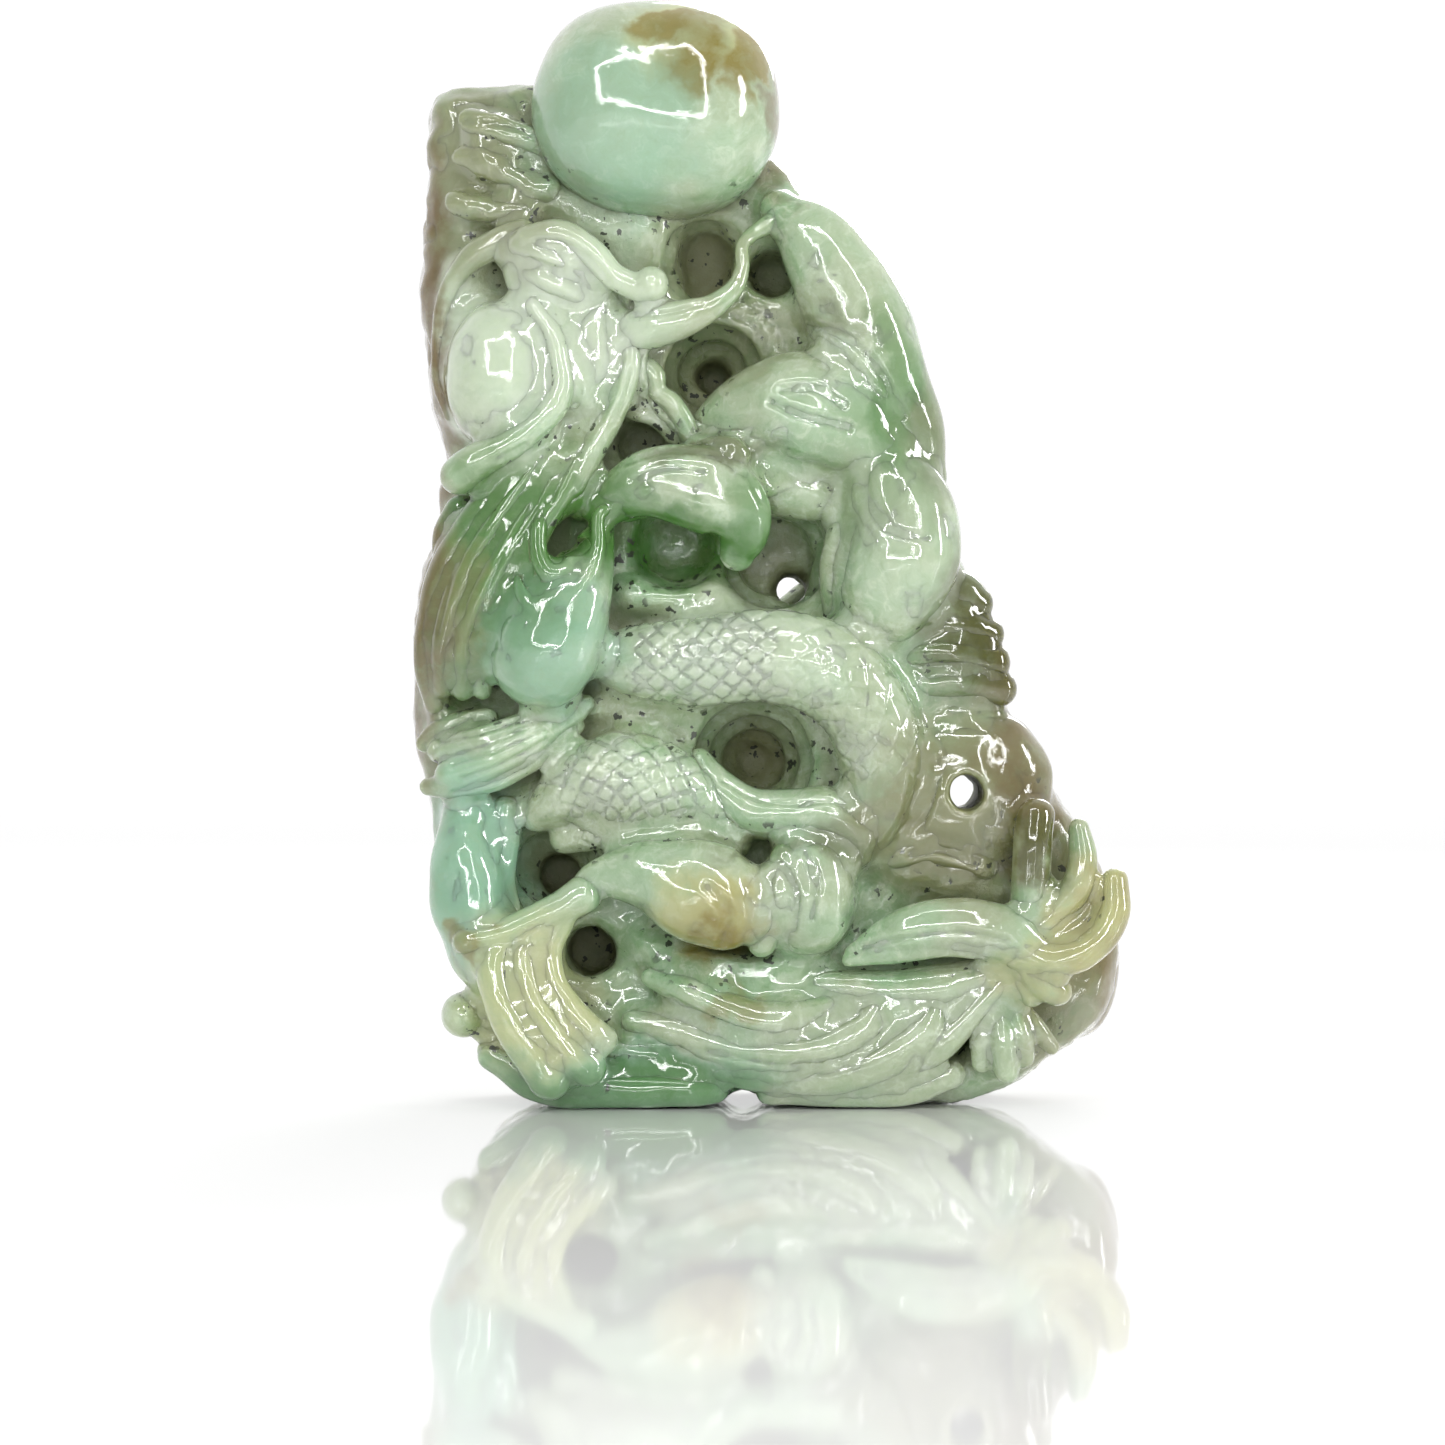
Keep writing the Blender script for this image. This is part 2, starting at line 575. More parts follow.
# %% Six locks and their hairs
locks = [
    [(-12.6, 1.8, 37.8, 0.6), (-13.7, 2.4, 36.4, 0.8), (-15, 2.3, 34.5, 0.9),
        (-16.6, 2.0, 32.6, 0.95), (-18, 1.5, 30.4, 0.9), (-18.8, 1.1, 27.6, 0.9),
        (-19.1, 0.8, 24.8, 0.8), (-18.7, 0.6, 22.6, 0.6)],
    [(-11.9, 2.0, 38.0, 0.5), (-13.2, 2.8, 35.4, 0.75), (-14.9, 2.8, 33, 0.85),
        (-16.4, 2.5, 30.7, 0.9), (-17.4, 2.2, 28.3, 0.85), (-18.1, 1.8, 26, 0.75),
        (-18.2, 1.3, 23.6, 0.6)],
    [(-11, 2.0, 37.4, 0.55), (-12.4, 2.9, 34.4, 0.75), (-13.8, 3.0, 32.2, 0.85),
        (-15.2, 2.9, 29.9, 0.9), (-16.3, 2.6, 27.8, 0.85), (-16.9, 2.1, 25.7, 0.75),
        (-17.1, 1.5, 23.4, 0.6)],
    [(-9.9, 2.1, 38.6, 0.5), (-10.4, 2.5, 36.6, 0.75), (-11.5, 2.9, 34.5, 0.8),
        (-12.7, 3.0, 32.4, 0.75), (-14, 2.9, 30, 0.8), (-15.2, 2.7, 27.6, 0.8),
        (-15.9, 2.2, 25.4, 0.7), (-16, 1.5, 23.4, 0.5)],
    [(-8.2, 2.3, 43.6, 0.5), (-7.7, 2.7, 42, 0.65), (-8.1, 2.8, 40.1, 0.7),
        (-8.9, 2.8, 38.4, 0.75), (-9.8, 2.8, 36.7, 0.75), (-10.8, 2.7, 34.8, 0.7),
        (-11.9, 2.3, 33, 0.5)],
    [(-9, 1.8, 40.8, 0.7), (-9.6, 2.0, 38.6, 0.8), (-10.2, 2.0, 36.2, 0.9),
        (-10.6, 1.8, 33.6, 0.8)],
]
bm = bmesh.new()
for lock in locks:
    limb(bm, lock, 1.0)
limb(bm, [(-17.2, 0.8, 33.4, 1.0), (-17.9, 0.8, 32.2, 0.9), (-18.2, 0.6, 31.2, 0.7)])
mane = skin("carved_mane", bm, 0.16, 2)
hand_polish(mane, 2.2, 0.09)
hairs = [[(-13, 36.2), (-15.4, 33.4), (-17.3, 30.4), (-18.4, 26.6)], [(-12.6, 36), (-14.3, 33.3),
    (-16, 30.5), (-17.2, 27.6)]]
hairs += [[(-11.9, 36), (-13.2, 33.4), (-14.6, 31), (-15.8, 28.4), (-16.6, 25.6)], [(-10.9, 36.4),
    (-12.1, 33.8)]]
hairs += [[(-8.2, 41.6), (-8.6, 40), (-9.4, 38.2)], [(-7.6, 41.2), (-7.9, 39.9), (-8.6, 38.2)]]
engrave(mane, hairs, 0.24, 0.12)
set_in_frame(mane, "jade_green", "mane")

# %% [markdown]
# ## The snout
#
# A full drop that hangs below the mane. Two C-shaped folds nest at its top, round a nostril
# that is drilled a little way in.

# %% The drop and its folds
bm = bmesh.new()
limb(bm, [(-9.1, 2.1, 33.2, 0.5), (-9.6, 2.4, 31.6, 1.1), (-10.4, 2.7, 29.8, 1.9),
    (-11.3, 3.0, 27.8, 2.6), (-12.2, 3.0, 26, 3.0), (-12.6, 2.8, 25.2, 2.95)], 0.8)
limb(bm, [(-12.3, 2.8, 33.9, 0.4), (-12.8, 3.6, 32.2, 0.5), (-12.7, 4.0, 30.7, 0.55),
    (-12.1, 4.1, 29.8, 0.6), (-11.3, 4.0, 30.0, 0.55), (-10.9, 3.7, 30.6, 0.4)], 0.95)
limb(bm, [(-13.9, 3.0, 30.2, 0.35), (-13.6, 3.9, 28.7, 0.5), (-12.6, 4.4, 27.5, 0.6),
    (-11.2, 4.4, 28, 0.6), (-10.1, 4.0, 29.5, 0.55), (-9.5, 3.5, 31.3, 0.5),
    (-9.5, 3.2, 32.9, 0.45), (-9.1, 3.0, 33.4, 0.4)], 0.95)
hole = bmesh.new()
made = bmesh.ops.create_icosphere(hole, subdivisions=3, radius=1)["verts"]
bmesh.ops.scale(hole, vec=(1.05, 1.6, 0.62), verts=made)
bmesh.ops.translate(hole, vec=(-10.9, FRONT - 3.6, 31.4), verts=made)
snout = skin("carved_snout", bm, 0.15, 4, hole)
hand_polish(snout, 2.4, 0.09)
engrave(snout, [[(-13.7, 30.4), (-13.3, 29.3), (-12.7, 28.9)]], 0.35, 0.3)
set_in_frame(snout, "jade_green", "snout")

# %% [markdown]
# ## The ear
#
# A thick scroll that curls over a dark hollow, with a small rounded tab behind it.

# %% The ear scroll
bm = bmesh.new()
limb(bm, [(-9.2, 1.8, 33.6, 1.0), (-8.3, 2.4, 34.3, 1.5), (-6.3, 2.8, 34.9, 2.0),
    (-3.9, 3.0, 34.6, 2.4), (-2.1, 2.9, 33.5, 2.2), (-1.5, 2.7, 32.2, 1.6),
    (-1.8, 2.2, 31.0, 1.0)], 0.7)
limb(bm, [(-8.0, 1.4, 33.4, 0.7), (-6.2, 1.8, 34, 0.9), (-4.0, 1.9, 33.7, 0.9),
    (-2.6, 1.6, 32.6, 0.7)], 0.8)
limb(bm, [(-3.4, 2.6, 36.9, 0.6), (-2.2, 3.0, 36.7, 0.85), (-1.8, 3.0, 36.4, 0.85)], 0.9)
ear = skin("carved_ear_scroll", bm, 0.16, 4)
hand_polish(ear, 2.0, 0.11)
engrave(ear, [[(-7.9, 36.0), (-5.8, 36.6), (-3.4, 36.4), (-1.4, 35.4), (-0.4, 33.8)], [(-7.6, 35),
    (-5.6, 35.6), (-3.6, 35.4)]], 0.34, 0.12)
set_in_frame(ear, "jade_green", "ear_scroll", "ear_tab")

# %% [markdown]
# ## The coils of the body
#
# Three plain coils climb the right edge, broad and highly polished. The middle one has an
# eye-shaped flat with two cuts in it.

# %% Upper, middle and lower coils
bm = bmesh.new()
limb(bm, [(0.6, 0.8, 50.4, 1.1), (2.6, 1.3, 48.3, 2.2), (4.8, 1.5, 44.6, 2.8),
    (6.2, 1.4, 41, 2.7), (7.6, 1.1, 38, 2.2), (8.6, 0.7, 35.4, 1.4)], 0.85)
upper = skin("carved_upper_coil", bm, 0.2, 4)
hand_polish(upper, 3.0, 0.18)
crease = [[(1.2, 43.6), (3.6, 43.2), (5.8, 41.4), (7.4, 38.6)]]
engrave(upper, crease, 0.4, 0.16)
set_in_frame(upper, "jade_pale", "upper_coil")

bm = bmesh.new()
limb(bm, [(-4.0, 0.9, 37.4, 1.2), (-1.4, 1.5, 38.7, 2.3), (1.6, 2.0, 39.2, 3.1),
    (4.4, 2.0, 38.2, 2.8), (6.8, 1.5, 36.4, 2.0), (8, 0.9, 35, 1.1)], 0.75)
limb(bm, [(-3.4, 0.5, 35.6, 1.4), (-0.4, 0.8, 35.4, 2.0), (2.4, 0.8, 34.6, 1.8)], 0.7)
middle_coil = skin("carved_middle_coil", bm, 0.18, 4)
hand_polish(middle_coil, 3.0, 0.18)
cuts = [[(0.1, 39.3), (1.8, 38.5), (4.4, 37.9)], [(0.6, 40.0), (2.4, 40.1), (4.0, 39.2)]]
engrave(middle_coil, cuts, 0.42, 0.24)
set_in_frame(middle_coil, "jade_pale", "middle_coil")

bm = bmesh.new()
limb(bm, [(4.6, 1.1, 37, 1.3), (6.6, 1.7, 35, 2.5), (7.6, 2.1, 32.6, 3.0), (7.3, 2.2, 30.2, 3.1),
    (6.2, 1.8, 27.8, 2.5), (5, 1.1, 26.2, 1.3)], 0.8)
limb(bm, [(4.6, 0.8, 33.6, 1.2), (4.0, 0.9, 30.6, 1.2), (3.8, 0.7, 27.8, 0.9)], 0.8)
lower = skin("carved_lower_coil", bm, 0.18, 4)
hand_polish(lower, 3.0, 0.21)
engrave(lower, [[(5.2, 35.2), (5.6, 33.6), (6.8, 32.2), (8.6, 31.8)]], 0.5, 0.16)
set_in_frame(lower, "jade_pale", "lower_coil")

# %% [markdown]
# ## Scales
#
# The scaled coils carry a lattice of crossing cuts. The lattice follows the coil, so each
# point of the skin is measured along the coil's own middle line and across it. Where two
# slanting sets of cuts pass, the skin is pushed in, and between them each scale stays a
# little raised.


# %% A lattice that follows a route
def scales(piece, stations, pitch, depth, start, stop):
    route = [Vector((p[0], 0, p[2])) for p in smooth_route(stations, 30)]
    tree = KDTree(len(route))
    along = [0.0]
    for count, point in enumerate(route):
        tree.insert(point, count)
        if count:
            along.append(along[-1] + (point - route[count - 1]).length)
    tree.balance()
    places, facings = points_of(piece)
    rises = []
    for (x, _, z), facing in zip(places.tolist(), facings[:, 1]):
        flat = Vector((x, 0, z))
        near, count, _ = tree.find(flat)
        if facing > 0.2 or not start < along[count] < stop:
            rises.append(0)
            continue
        way = (route[min(count + 1, len(route) - 1)] - route[max(count - 1, 0)]).normalized()
        across = (flat - near).dot(Vector((-way.z, 0, way.x)))
        fade = min(1, (along[count] - start) / 1.5, (stop - along[count]) / 1.5)
        one = abs(((along[count] + across * 1.1) / pitch) % 1 - 0.5) * 2
        two = abs(((along[count] - across * 1.1) / pitch) % 1 - 0.5) * 2
        groove = max(0, (max(one, two) - 0.66) / 0.34) ** 1.4
        rises.append(-depth * groove * fade)
    move_out(piece, places, facings, rises)


# %% The scaled coil and the turn below it
coil_route = [(-9.6, 1.1, 25.2, 1.2), (-7.2, 1.8, 25.0, 2.1), (-3.9, 2.4, 25.0, 2.5),
    (-0.4, 2.6, 25.3, 2.6), (3.0, 2.6, 24.6, 2.7), (5.3, 2.2, 22.4, 2.6), (6.2, 1.8, 19.4, 2.4),
    (5.8, 1.3, 16.6, 1.9), (4.9, 0.8, 14.4, 1.2)]
bm = bmesh.new()
limb(bm, coil_route, 0.85)
coil = skin("carved_scaled_coil", bm, 0.15, 3)
hand_polish(coil, 2.6, 0.12)
scales(coil, coil_route, 1.35, 0.2, 1.5, 10.5)
scales(coil, coil_route, 1.6, 0.07, 10.0, 21.0)
set_in_frame(coil, "jade_pale", "scaled_coil")

turn_route = [(-3.9, 0.9, 19.4, 0.8), (-2.9, 1.1, 17.9, 1.2), (-1, 1.3, 16.6, 1.4),
    (1.4, 1.6, 16.4, 1.5), (3.4, 1.9, 16.5, 1.5), (4.8, 1.9, 15.6, 1.3), (4.9, 1.6, 14.3, 0.9)]
bm = bmesh.new()
limb(bm, turn_route, 0.9)
turn = skin("carved_coil_turn", bm, 0.15, 3)
hand_polish(turn, 2.0, 0.11)
engrave(turn, [[(-2.6, 18.4), (-0.6, 17.3), (1.6, 17.1), (3.6, 17.2), (5.1, 16.2)]], 0.3, 0.13)
set_in_frame(turn, "jade_pale", "coil_turn")

# %% The scaled flank
flank_route = [(-13.0, 0.8, 16.4, 1.0), (-10.8, 1.3, 17.7, 2.1), (-8, 1.7, 18.4, 2.8),
    (-5.2, 1.5, 17.6, 2.3), (-2.6, 1.0, 16.0, 1.3)]
bm = bmesh.new()
limb(bm, flank_route, 0.8)
limb(bm, [(-11.4, 0.9, 15.2, 0.9), (-8.4, 1.5, 15.8, 1.3), (-5, 1.6, 15.5, 1.3),
    (-2, 1.2, 14.9, 1.0)], 0.8)
flank = skin("carved_scaled_flank", bm, 0.15, 3)
hand_polish(flank, 2.6, 0.12)
scales(flank, flank_route, 1.4, 0.18, 0.5, 10.5)
set_in_frame(flank, "jade_pale", "scaled_flank")

# %% [markdown]
# ## The rump and the left fin
#
# The rump bulges at the left edge, bluish and smooth. Above it, a fan of petals points out
# to the left.

# %% The rump
bm = bmesh.new()
limb(bm, [(-17.1, 0.8, 16.9, 1.3), (-16.9, 1.3, 13.4, 2.1), (-16.2, 1.4, 9.8, 2.2),
    (-14.8, 1.1, 6.9, 1.5)], 0.9)
limb(bm, [(-14.6, 0.6, 16.6, 1.0), (-15.2, 0.9, 13.2, 1.1), (-14.6, 0.8, 10.6, 1.1)], 0.8)
rump = skin("carved_rump", bm, 0.2, 4)
hand_polish(rump, 2.2, 0.3)
set_in_frame(rump, "jade_green", "rump")

# %% The left fin
bm = bmesh.new()
limb(bm, [(-10.2, 1.4, 22.7, 0.5), (-12.6, 1.9, 21.7, 0.85), (-15.6, 1.9, 20.6, 0.95),
    (-18.4, 1.3, 20.0, 0.7)], 0.9)
limb(bm, [(-10.6, 1.6, 22.2, 0.5), (-12.8, 2.2, 20.9, 0.85), (-15.4, 2.3, 19.5, 1.0),
    (-17.8, 1.9, 18.7, 0.85)], 0.9)
limb(bm, [(-10.8, 1.3, 21.4, 0.5), (-12.8, 1.7, 20.0, 0.8), (-15.2, 1.9, 18.7, 0.9),
    (-17.6, 1.7, 18.1, 0.8), (-19, 1.4, 18.0, 0.55)], 0.9)
limb(bm, [(-15.8, 0.9, 21.8, 0.7), (-18.2, 0.7, 21.2, 0.75), (-19.3, 0.5, 20.4, 0.5)], 0.8)
fin = skin("carved_left_fin", bm, 0.15, 3)
hand_polish(fin, 1.8, 0.09)
barbs = [[(-12.4, 21.2), (-15, 20.1), (-17.6, 19.3)], [(-12.4, 20.6), (-14.6, 19.4), (-17, 18.5)],
    [(-16.6, 21.9), (-18.2, 20.7), (-19.1, 19.4)]]
barbs += [[(-13, 22.0), (-15.8, 21.1), (-18.2, 20.5)], [(-13.6, 19.1), (-15.6, 18.2),
    (-17.6, 17.7)]]
engrave(fin, barbs, 0.28, 0.14)
set_in_frame(fin, "jade_green", "left_fin")

# %% [markdown]
# ## The hind leg and its foot
#
# The thigh is a full tapering form that ends in a facet, and a crease parts it from the
# knee. The foot hangs below on the left: a spur that points out, and toes that bend down side
# by side, thin enough to glow.

# %% Thigh and knee
bm = bmesh.new()
limb(bm, [(-10.8, 2.4, 11.4, 0.8), (-9.4, 2.6, 12.9, 1.2), (-7, 2.8, 13.2, 2.0),
    (-4.7, 3.0, 12.5, 2.8), (-2.6, 3.0, 11.8, 2.9), (-1.2, 2.7, 11.6, 2.3)], 0.8)
thigh = skin("carved_thigh", bm, 0.17, 4)
hand_polish(thigh, 2.4, 0.18)
engrave(thigh, [[(-3.4, 12.6), (-2.2, 11), (-2.6, 9.4)]], 0.6, 0.16)
set_in_frame(thigh, "jade_pale", "thigh")

centre, half = box_of("knee")
bm = bmesh.new()
lump(bm, centre + Vector((0.2, 0, 0)), (2.7, 2.7, 3.4), 2.2)
limb(bm, [(-0.4, 2.6, 9.4, 0.8), (0.6, 3.2, 12, 1.0), (0.8, 2.8, 14.2, 0.8)], 0.9)
knee = skin("carved_knee", bm, 0.17, 4)
hand_polish(knee, 2.0, 0.15)
engrave(knee, [[(0.6, 13.8), (1.5, 12.2), (1.3, 10.2)], [(2.0, 14.4), (2.6, 12.8), (2.3, 10.8)]],
    0.32, 0.16)
set_in_frame(knee, "jade_pale", "knee")

# %% Spur and toes
bm = bmesh.new()
limb(bm, [(-10.4, 2.8, 12.0, 1.1), (-12.0, 3.1, 11.1, 0.95), (-14, 3.2, 10.2, 0.85),
    (-15.8, 3.2, 9.6, 0.85), (-16.8, 3.1, 9.5, 0.82)], 0.95)
limb(bm, [(-14.2, 3.0, 9.8, 0.9), (-15.3, 3.2, 8.6, 0.95), (-15.1, 3.4, 6.8, 1.0),
    (-14.2, 3.5, 4.8, 1.05), (-12.9, 3.4, 2.9, 1.2), (-12.2, 3.3, 2.0, 1.3)], 0.9)
limb(bm, [(-12.8, 3.0, 10.2, 0.9), (-13.6, 3.2, 8.6, 0.9), (-13.3, 3.4, 6.9, 0.95),
    (-12.2, 3.6, 4.9, 1.05), (-10.9, 3.6, 3.3, 1.15), (-10.1, 3.4, 2.6, 1.15)], 0.9)
limb(bm, [(-11.6, 2.9, 10.8, 0.9), (-12.2, 3.0, 8.9, 0.75), (-11.9, 3.2, 7.2, 0.75),
    (-10.9, 3.4, 5.6, 0.85), (-9.8, 3.4, 4.4, 0.95), (-9.3, 3.2, 4.0, 0.95)], 0.9)
limb(bm, [(-13.0, 2.5, 9.8, 1.6), (-13.6, 2.7, 7.2, 2.1), (-12.5, 2.9, 4.8, 2.4),
    (-11.2, 2.8, 3.4, 2.2)], 0.48)
foot = skin("carved_hind_foot", bm, 0.15, 3)
hand_polish(foot, 1.6, 0.08)
lines = [[(-14.4, 9.0), (-14.2, 6.8), (-13.2, 4.9), (-11.9, 3.4)], [(-12.9, 9), (-12.6, 7),
    (-11.5, 5.2), (-10.2, 3.9)]]
engrave(foot, lines, 0.3, 0.12)
set_in_frame(foot, "jade_honey", "left_spur", "left_toe_1", "left_toe_2", "left_toe_3")

# %% [markdown]
# ## The foreleg and its claws
#
# The foreleg reaches right with two long ridges along it. Its claws spread like fingers: a
# dark one and a pale one stand up, a yellow one hooks round the edge, and a stub turns down.

# %% Forearm
bm = bmesh.new()
limb(bm, [(4.6, 2.2, 8.8, 0.5), (6.4, 2.8, 9.7, 1.0), (8.6, 3.1, 10.3, 1.4),
    (11.2, 3.1, 10.4, 1.45), (13.4, 2.9, 9.8, 1.5), (14.8, 2.8, 8.8, 1.3)], 0.8)
limb(bm, [(4.4, 2.4, 8.4, 0.4), (6.8, 2.8, 8.9, 0.7), (9.6, 3.0, 9.4, 0.8),
    (12.4, 2.9, 9.2, 0.8)], 0.9)
forearm = skin("carved_forearm", bm, 0.15, 3)
hand_polish(forearm, 2.0, 0.09)
engrave(forearm, [[(5.2, 9.2), (7.6, 9.7), (10.4, 10), (13, 9.6)]], 0.32, 0.14)
set_in_frame(forearm, "jade_pale", "forearm")

# %% Claws
bm = bmesh.new()
limb(bm, [(14.3, 2.4, 11.2, 0.95), (14.5, 2.7, 13, 1.1), (14.6, 2.9, 15, 1.12),
    (14.8, 2.8, 16.4, 1.05)], 0.95)
limb(bm, [(14.4, 2.3, 10, 1.2), (15.8, 2.4, 11.1, 1.0), (17, 2.7, 12.4, 0.95),
    (17.4, 2.8, 14, 0.85), (17.2, 2.6, 15.7, 0.62)], 0.95)
limb(bm, [(13.8, 2.7, 9, 1.2), (15.4, 2.9, 8.4, 1.15), (17, 3.1, 8.7, 1.0),
    (18.4, 3.2, 9.7, 0.95), (19.15, 3.1, 11.2, 0.88), (19.2, 2.8, 12.8, 0.75)], 0.95)
limb(bm, [(14.6, 2.5, 8.2, 1.2), (15.2, 2.6, 7.3, 1.1), (16, 2.5, 6.7, 0.9)], 0.95)
limb(bm, [(14.0, 2.2, 7.6, 0.8), (14.6, 2.2, 6.5, 0.75)], 0.95)
limb(bm, [(15.4, 1.7, 10.4, 1.6), (17, 1.9, 10.6, 1.3)], 0.7)
claws = skin("carved_claws", bm, 0.15, 2)
hand_polish(claws, 1.6, 0.08)
set_in_frame(claws, "jade_honey", "right_claw_1", "right_claw_2", "right_claw_3", "right_claw_4")

# %% [markdown]
# ## Tail fin and paw
#
# A long leaf sweeps along the bottom. It is a bundle of overlapping ridges that run to one
# point at the right. The paw beside it is a small fan, worn smooth.

# %% The tail fin
bm = bmesh.new()
limb(bm, [(-6.6, 1.2, 7.3, 0.6), (-4.6, 1.8, 6.6, 0.9), (-2.6, 2.1, 5.7, 1.0),
    (-0.6, 2.3, 5.1, 1.1), (1.4, 2.2, 5.2, 1.0), (3.4, 1.8, 5.9, 0.6)], 0.9)
limb(bm, [(-7.6, 0.9, 4.9, 0.7), (-4.6, 1.4, 4.2, 1.1), (-1.2, 1.8, 3.3, 1.3),
    (2.4, 2.0, 3.4, 1.4), (5.2, 2.0, 4.6, 1.2), (6.4, 1.8, 6.2, 0.7)], 0.8)
limb(bm, [(-6.8, 0.7, 3.4, 0.6), (-3.2, 1.2, 2.5, 0.9), (0.8, 1.6, 1.9, 1.1),
    (4.6, 1.9, 2.2, 1.2), (7.6, 2.1, 3.5, 1.2), (9.0, 2.0, 5.2, 0.9), (8.8, 1.8, 6.6, 0.5)], 0.8)
limb(bm, [(1.6, 1.0, 1.4, 0.7), (5.6, 1.4, 1.6, 0.8), (8.8, 1.7, 3.0, 0.85),
    (10.6, 1.8, 4.6, 0.85), (12.2, 1.8, 6.4, 0.8), (13.6, 1.8, 7.8, 0.6)], 0.9)
limb(bm, [(2.8, 1.3, 6.9, 0.9), (6.4, 1.5, 6.6, 1.2), (9.6, 1.6, 6.8, 1.3),
    (12.2, 1.6, 7.6, 1.0)], 0.8)
limb(bm, [(-5.2, 0.6, 4.9, 1.6), (-0.6, 1.0, 3.9, 2.4), (5, 1.2, 4.2, 2.6), (10, 1.2, 6.0, 1.8),
    (12.4, 1.1, 7.2, 1.0)], 0.5)
tail = skin("carved_tail_fin", bm, 0.16, 3)
hand_polish(tail, 2.4, 0.14)
ribs = [[(-4.8, 5.2), (-1.4, 4.3), (2, 4.2), (4.8, 5.4)], [(-3.4, 3.3), (0.8, 2.6), (4.8, 3.1),
    (7.4, 4.8)], [(-5.6, 6.3), (-3, 5.0), (-0.8, 4.3)]]
engrave(tail, ribs, 0.34, 0.14)
set_in_frame(tail, "jade_pale", "tail_fin")

# %% The small paw
bm = bmesh.new()
limb(bm, [(12.2, 1.2, 5.9, 0.5), (11.9, 1.6, 4.0, 0.7), (11.9, 1.5, 2.6, 0.6)], 0.9)
limb(bm, [(12.8, 1.4, 6.2, 0.5), (13.0, 1.9, 3.9, 0.75), (13.2, 1.8, 2.2, 0.72)], 0.9)
limb(bm, [(13.4, 1.4, 6, 0.5), (14.0, 1.7, 4.2, 0.7), (14.2, 1.5, 2.9, 0.62)], 0.9)
limb(bm, [(13.8, 1.2, 6, 0.5), (15.0, 1.3, 4.4, 0.6), (15.8, 1.0, 3.5, 0.5)], 0.9)
paw = skin("carved_small_paw", bm, 0.14, 2)
hand_polish(paw, 1.6, 0.08)
set_in_frame(paw, "jade_pale", "small_paw")

# %% [markdown]
# ## Clouds, flames and waves
#
# Around the dragon the stone is cut into low motifs: flames at the right edge, a round cloud
# with a drilled eye, a plain disc behind the claws, and a roll of waves along the foot.

# %% Side flames
bm = bmesh.new()
limb(bm, [(8.2, 0.6, 29.2, 0.9), (10.2, 0.9, 29, 1.3), (11.7, 0.7, 28.2, 1.0)], 0.9)
limb(bm, [(7.6, 0.8, 27, 0.8), (10, 1.2, 27.1, 1.15), (12.3, 0.8, 26.6, 0.95)], 0.9)
limb(bm, [(7.2, 0.9, 25.3, 0.8), (9.8, 1.4, 25.5, 1.1), (12.4, 1.0, 25, 1.05)], 0.9)
limb(bm, [(7.3, 0.8, 23.5, 0.7), (9.8, 1.2, 23.9, 1.0), (12.9, 0.8, 23.4, 0.95)], 0.9)
flames = skin("carved_side_flames", bm, 0.17, 3)
hand_polish(flames, 1.8, 0.15)
engrave(flames, [[(8.4, 26.2), (10.4, 26.3), (12.6, 25.8)], [(8, 24.6), (10.4, 24.8),
    (13, 24.2)]], 0.3, 0.14)
set_in_frame(flames, "jade_brown", "side_flame_1", "side_flame_2", "side_flame_3")

# %% The cloud plaque and its eye
centre, half = box_of("cloud_plaque")
bm = bmesh.new()
lump(bm, centre + Vector((0, 0.5, 0.4)), (5.0, 2.4, 4.6), 2.4)
limb(bm, [(6.6, 0.4, 14.0, 0.8), (9.2, 0.9, 14.5, 1.0), (12, 0.8, 13.6, 0.9)], 0.9)
limb(bm, [(7.4, 0.3, 21.6, 0.7), (10.6, 0.8, 22.2, 0.8), (13.4, 0.5, 20.8, 0.7),
    (15.2, 0.3, 18.4, 0.6)], 0.8)
eye = bmesh.new()
drill_hole(eye, 11.0, 17.7, 1.05, 14)
plaque = skin("carved_cloud_plaque", bm, 0.17, 3, eye)
hand_polish(plaque, 2.0, 0.21)
marks = [[(8.5, 20.6), (9.2, 18.5), (8.3, 15.6)], [(7.9, 20.4), (8.3, 18.4), (7.8, 16.4)],
    [(7.9, 14.2), (9.4, 14.5), (11.6, 13.8)]]
engrave(plaque, marks, 0.38, 0.3)
set_in_frame(plaque, "jade_pale", "cloud_plaque")

# %% The disc behind the claws
centre, half = box_of("cloud_disc")
bm = bmesh.new()
lump(bm, centre, (half.x * 1.0, half.y, half.z), 2.5, 5)
disc = skin("carved_cloud_disc", bm, 0.24, 3)
hand_polish(disc, 2.6, 0.18)
set_in_frame(disc, "jade_ground", "cloud_disc")

# %% Waves along the foot
bm = bmesh.new()
limb(bm, [(-15.4, 0.6, 2.9, 0.9), (-12.4, 1.0, 1.5, 1.3), (-8.6, 1.1, 1.25, 1.2),
    (-5.2, 1.1, 1.2, 1.1), (-3.1, 0.9, 1.1, 0.9)], 0.9)
limb(bm, [(-8.6, 0.7, 3.2, 0.8), (-6, 1.0, 2.9, 0.9), (-3.4, 0.9, 2.2, 0.7)], 0.8)
left_wave = skin("carved_wave_left", bm, 0.17, 3)
hand_polish(left_wave, 2.0, 0.12)
engrave(left_wave, [[(-14, 2.6), (-11, 1.9), (-7.6, 2.0), (-4.4, 1.8)]], 0.3, 0.12)
set_in_frame(left_wave, "jade_green", "wave_left")

bm = bmesh.new()
limb(bm, [(0.1, 0.8, 1.0, 0.85), (3.6, 1.0, 1.05, 0.95), (7.4, 1.0, 1.1, 1.0),
    (10.2, 0.8, 1.9, 0.9)], 0.9)
right_wave = skin("carved_wave_right", bm, 0.17, 3)
hand_polish(right_wave, 2.0, 0.09)
set_in_frame(right_wave, "jade_green", "wave_right")

